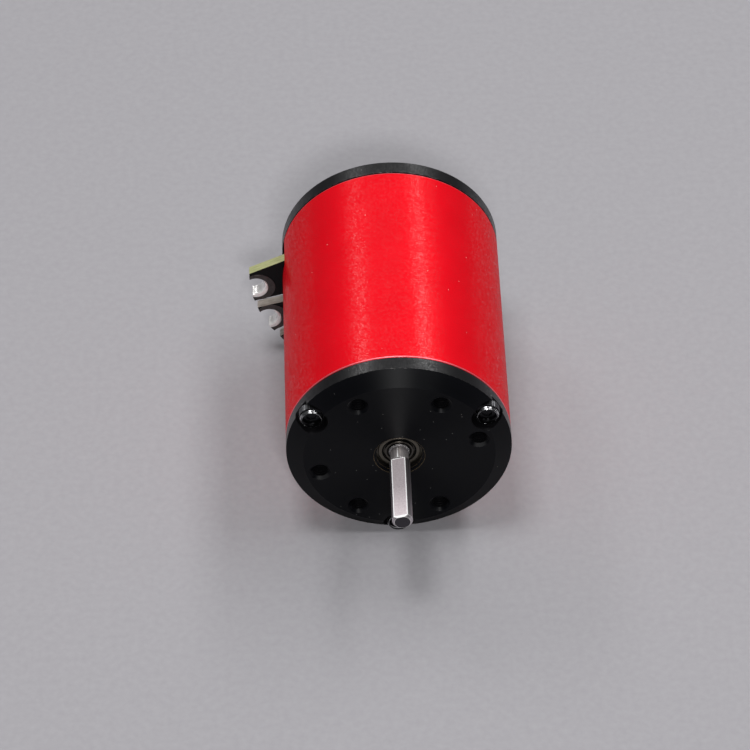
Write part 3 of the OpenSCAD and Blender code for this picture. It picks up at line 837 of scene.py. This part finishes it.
# The flat is milled, so it is grained, with a painted highlight along its sides and at both ends
FLAT_ANGLE = math.radians(104)
FLAT_MIDDLE_MM = -7.60
HIGHLIGHT_ACROSS_MM = 0.97
HIGHLIGHT_ALONG_MM = 5.93
FLAT_METALLIC = 0.88
HIGHLIGHT_METALLIC = 0.13
flat_facing = Vector((math.cos(FLAT_ANGLE), 0, math.sin(FLAT_ANGLE)))
flat_across = Vector((-flat_facing.z, 0, flat_facing.x))
milled_flat, tree, shader = new_material("milled flat", Roughness=0.55)
place = node(tree, "ShaderNodeTexCoord").outputs["Object"]
grained = node(tree, "ShaderNodeTexNoise", {"Vector": place, "Scale": 4200.0, "Detail": 3.0})
milled_tone = mixed(tree, grained.outputs["Fac"], (0.62, 0.53, 0.56, 1), (1.0, 0.92, 0.94, 1))
across = node(
    tree, "ShaderNodeVectorMath", {0: place, 1: flat_across}, operation="DOT_PRODUCT"
).outputs["Value"]
off_centre = maths(tree, "ABSOLUTE", across)
along = node(tree, "ShaderNodeSeparateXYZ", {0: place}).outputs["Y"]
off_middle = maths(tree, "ABSOLUTE", maths(tree, "SUBTRACT", along, FLAT_MIDDLE_MM * MM))
side_highlight = above(tree, off_centre, HIGHLIGHT_ACROSS_MM * MM)
end_highlight = above(tree, off_middle, HIGHLIGHT_ALONG_MM * MM)
flat_edge_highlight = maths(tree, "MAXIMUM", side_highlight, end_highlight)
flat_tone = mixed(tree, flat_edge_highlight, milled_tone, (1.0, 1.0, 1.0, 1))
tree.links.new(flat_tone, shader.inputs["Base Color"])
metal_share = maths(tree, "MULTIPLY_ADD", flat_edge_highlight, HIGHLIGHT_METALLIC - FLAT_METALLIC, FLAT_METALLIC)
tree.links.new(metal_share, shader.inputs["Metallic"])
bumped(tree, shader, grained.outputs["Fac"], 0.010)

# The shaft's broken edges are painted near white: a painted highlight
edge_painted_highlight = toned(
    "edge painted highlight", (1.0, 0.98, 0.97), (0.8, 0.77, 0.76), (0.4, 0.4, 0.4), 0.002,
    Metallic=0.25, Roughness=0.4,
)
shaft_ground = eased_copy(
    "shaft", 0.09, ground_steel, "rotor", edge_material=edge_painted_highlight
)
RELIEF_FRONT_MM = -1.8
RELIEF_REAR_MM = 1.5


def in_relief(centre, normal):
    """Whether a face is on the round of the grinding relief."""
    return RELIEF_FRONT_MM < centre.y < RELIEF_REAR_MM and abs(normal.y) < 0.5


finish_faces(shaft_ground, relieved_steel, in_relief)
finish_faces(shaft_ground, milled_flat, lambda centre, normal: normal.dot(flat_facing) > 0.9995)
finish_faces(shaft_ground, cut_end, lambda centre, normal: normal.y < -0.999)

# Rotor. A nickel-plated ring magnet on the shaft, bound with carbon fibre against bursting,
# between two brass rings that are drilled to balance it. A shim and a spacer set its place.
nickel = toned(
    "nickel plate", (0.50, 0.48, 0.44), (0.38, 0.36, 0.33), (0.8, 0.8, 0.8), 0.004,
    Metallic=1.0, Roughness=0.28,
)
turned_brass = turned(
    "turned brass", (0.62, 0.44, 0.17), (0.46, 0.31, 0.11), 0.08, 0.004,
    Metallic=1.0, Roughness=0.3,
)[0]


def banded(name, deep, pale, pitch_mm, depth_mm, **shader_values):
    """A material with fine bands across the shaft's axis, such as windings or stacked sheets."""
    material, tree, shader = new_material(name, **shader_values)
    place = node(tree, "ShaderNodeTexCoord").outputs["Object"]
    along = node(tree, "ShaderNodeSeparateXYZ", {0: place}).outputs["Y"]
    along_mm = maths(tree, "MULTIPLY", along, 1.0 / MM)
    bands = use_group(tree, lathe_lines, Distance_mm=along_mm, Pitch_mm=pitch_mm)
    tone = mixed(tree, bands.outputs["Height"], (*deep, 1), (*pale, 1))
    tree.links.new(tone, shader.inputs["Base Color"])
    bumped(tree, shader, bands.outputs["Height"], depth_mm)
    return material


carbon_wound = banded(
    "wound carbon fibre", (0.006, 0.006, 0.007), (0.035, 0.035, 0.038), 0.22, 0.02,
    Roughness=0.34, Coat_Weight=0.5,
)
eased_copy("rotor_magnet", 0.1, nickel, "rotor")
eased_copy("magnet_sleeve", 0.03, carbon_wound, "rotor")
eased_copy("front_balance_ring", 0.08, turned_brass, "rotor")
eased_copy("rear_balance_ring", 0.08, turned_brass, "rotor")
eased_copy("rear_spacer", 0.05, turned_brass, "rotor")
painted(spring_steel, "front_shim")

# Stator. Half-millimetre steel laminations with six teeth, lined with film in the slots, and a
# moulded nylon end piece over each end of the stack.
laminated = banded(
    "laminated steel", (0.10, 0.10, 0.115), (0.26, 0.26, 0.28), 0.5, 0.05,
    Metallic=0.8, Roughness=0.42,
)
slot_film = toned(
    "slot film", (0.72, 0.66, 0.46), (0.60, 0.53, 0.34), (2.0, 2.0, 2.0), 0.004, Roughness=0.4
)
moulded_nylon = toned(
    "moulded nylon", (0.020, 0.022, 0.021), (0.012, 0.013, 0.013), (0.7, 0.7, 0.7), 0.012,
    Roughness=0.5,
)
eased_copy("stator_stack", 0.04, laminated, "housing")
painted(slot_film, "slot_liners")
eased_copy("front_insulator", 0.08, moulded_nylon, "housing")
eased_copy("rear_insulator", 0.08, moulded_nylon, "housing")

# Coils. Enamelled copper wire wound in three layers round each tooth, two opposite teeth to a
# phase. The end of each phase runs straight back to the terminal board.
TOOTH_ANGLE = 206
TOOTH_PITCH = 60
COIL_LOW_MM = 8.25
END_PIECES_MM = 1.9
WIRE_LAYERS = 3
stack_low, stack_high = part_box("stator_stack")
coil_middle_mm = (stack_low.y + stack_high.y) / 2 / MM
coil_inner_length_mm = (stack_high.y - stack_low.y) / MM + END_PIECES_MM
coil_tree, given, out = geometry_tree(
    "coil turns",
    {
        "Wire": 0.6 * MM,
        "Turns": 4,
        "Turn Pitch": 0.66 * MM,
        "Layer Pitch": 0.56 * MM,
        "Inner Width": 4.56 * MM,
        "Inner Length": 25.9 * MM,
        "Inner Corner": 0.5 * MM,
        "Material": None,
    },
)
half_wire = maths(coil_tree, "MULTIPLY", given["Wire"], 0.5)
wire_round = node(
    coil_tree,
    "GeometryNodeCurvePrimitiveCircle",
    {"Resolution": 8, "Radius": half_wire},
)

# Every other layer has a turn less, and lies in the grooves of the one under it
layers = []
for layer in range(WIRE_LAYERS):
    in_grooves = layer % 2
    layer_height = maths(coil_tree, "MULTIPLY", given["Layer Pitch"], float(layer))
    outward = maths(coil_tree, "ADD", half_wire, layer_height)
    both_sides = maths(coil_tree, "MULTIPLY", outward, 2.0)
    loop = node(
        coil_tree,
        "GeometryNodeCurvePrimitiveQuadrilateral",
        {
            "Width": maths(coil_tree, "ADD", given["Inner Width"], both_sides),
            "Height": maths(coil_tree, "ADD", given["Inner Length"], both_sides),
        },
    )
    rounded = node(
        coil_tree,
        "GeometryNodeFilletCurve",
        {
            "Curve": loop.outputs[0],
            "Count": 4,
            "Radius": maths(coil_tree, "ADD", given["Inner Corner"], outward),
        },
        mode="POLY",
    )
    turn = node(
        coil_tree,
        "GeometryNodeCurveToMesh",
        {"Curve": rounded.outputs[0], "Profile Curve": wire_round.outputs[0]},
    )
    shift = maths(coil_tree, "MULTIPLY", given["Turn Pitch"], 0.5 * in_grooves)
    heights = node(
        coil_tree,
        "GeometryNodeMeshLine",
        {
            "Count": maths(coil_tree, "SUBTRACT", given["Turns"], float(in_grooves)),
            "Start Location": vector(coil_tree, z=maths(coil_tree, "ADD", half_wire, shift)),
            "Offset": vector(coil_tree, z=given["Turn Pitch"]),
        },
    )
    wound = node(
        coil_tree,
        "GeometryNodeInstanceOnPoints",
        {"Points": heights.outputs[0], "Instance": turn.outputs[0]},
    )
    layers.append(wound.outputs[0])
seat = node(coil_tree, "GeometryNodeInputPosition")
outward_from_axis = node(
    coil_tree, "ShaderNodeVectorMath", {0: seat.outputs[0], 1: (1, 0, 1)}, operation="MULTIPLY"
)
along_tooth = node(
    coil_tree,
    "FunctionNodeAlignRotationToVector",
    {"Vector": outward_from_axis.outputs[0]},
    axis="Z",
    pivot_axis="Y",
)
coils = node(
    coil_tree,
    "GeometryNodeInstanceOnPoints",
    {
        "Points": given["Geometry"],
        "Instance": joined(coil_tree, *layers),
        "Rotation": along_tooth.outputs[0],
    },
)
close_tree(coil_tree, out, coils.outputs[0], given["Material"])

enamelled_copper = toned(
    "enamelled copper", (0.62, 0.22, 0.07), (0.42, 0.12, 0.035), (0.5, 0.5, 0.5), 0.003,
    Metallic=1.0, Roughness=0.3, Coat_Weight=0.6, Coat_Roughness=0.15,
)
for step, phase in enumerate("abc"):
    tooth = TOOTH_ANGLE + TOOTH_PITCH * step
    windings = grown(
        f"phase_{phase}_windings",
        coil_tree,
        on_circle(COIL_LOW_MM, (tooth, tooth + 180), coil_middle_mm),
        {"Inner Length": coil_inner_length_mm * MM, "Material": enamelled_copper},
    )
    windings.data.shade_smooth()
    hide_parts(f"coils_phase_{phase}")
    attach(windings, "housing")
painted(enamelled_copper, "phase_leads")

# Terminal board. Glass laminate with a black mask on both faces, cut into three tabs. Each tab
# has a plated notch with a pad on both faces and bright solder along its lower side.
black_mask = toned(
    "black solder mask", (0.004, 0.0035, 0.004), (0.002, 0.002, 0.002), (0.5, 0.5, 0.5), 0.004,
    Roughness=0.35, Specular_IOR_Level=0.15,
)
laminate = toned(
    "glass laminate", (0.56, 0.55, 0.30), (0.16, 0.20, 0.05), (1.6, 0.16, 1.6), 0.02, Roughness=0.6
)
tinned = toned(
    "tinned copper", (0.15, 0.135, 0.13), (0.07, 0.062, 0.06), (0.45, 0.45, 0.45), 0.006,
    Metallic=1.0, Roughness=0.42,
)
solder = toned(
    "bright solder", (1.0, 0.98, 0.96), (0.82, 0.80, 0.79), (0.8, 0.8, 0.8), 0.16,
    Metallic=0.4, Roughness=0.24,
)
board = eased_copy("terminal_board", 0.05, laminate, "housing")
finish_faces(board, black_mask, lambda centre, normal: abs(normal.y) > 0.9)

# The two lower tabs' upper edges, which are walls of the slots, are streaked dark brown to pale
TAB_PITCH = 18.9
slot_angles = [math.radians(TOOTH_ANGLE + side * TAB_PITCH / 2) for side in (-1, 1)]
slot_walls = [Vector((math.sin(angle), 0, -math.cos(angle))) for angle in slot_angles]
streaked_slot_walls = toned(
    "streaked slot laminate", (0.66, 0.60, 0.55), (0.13, 0.09, 0.06), (1.2, 0.22, 1.2), 0.03,
    Roughness=0.45,
)
finish_faces(
    board,
    streaked_slot_walls,
    lambda centre, normal: any(normal.dot(wall) > 0.999 for wall in slot_walls),
)
eased_copy("tab_pads", 0.02, tinned, "housing")


def flowed_copy(cad_node, name):
    """Soldered joints as one skin that molten metal has drawn round."""
    piece = eased_copy(cad_node, 0.05, solder, "housing")
    piece.modifiers.clear()
    skin = piece.modifiers.new("skin", "REMESH")
    skin.mode = "VOXEL"
    skin.voxel_size = 0.07 * MM
    skin.use_smooth_shade = True
    drawn = piece.modifiers.new("drawn round", "SMOOTH")
    drawn.factor = 0.5
    drawn.iterations = 26
    bpy.context.view_layer.update()
    evaluated = piece.evaluated_get(bpy.context.evaluated_depsgraph_get())
    mesh = bpy.data.meshes.new_from_object(evaluated)
    mesh.name = name
    piece.modifiers.clear()
    piece.data = mesh
    piece.name = name


flowed_copy("tab_solder", "tab_solder_joints")
flowed_copy("lead_solder", "lead_solder_joints")
painted(spring_steel, "board_screws")
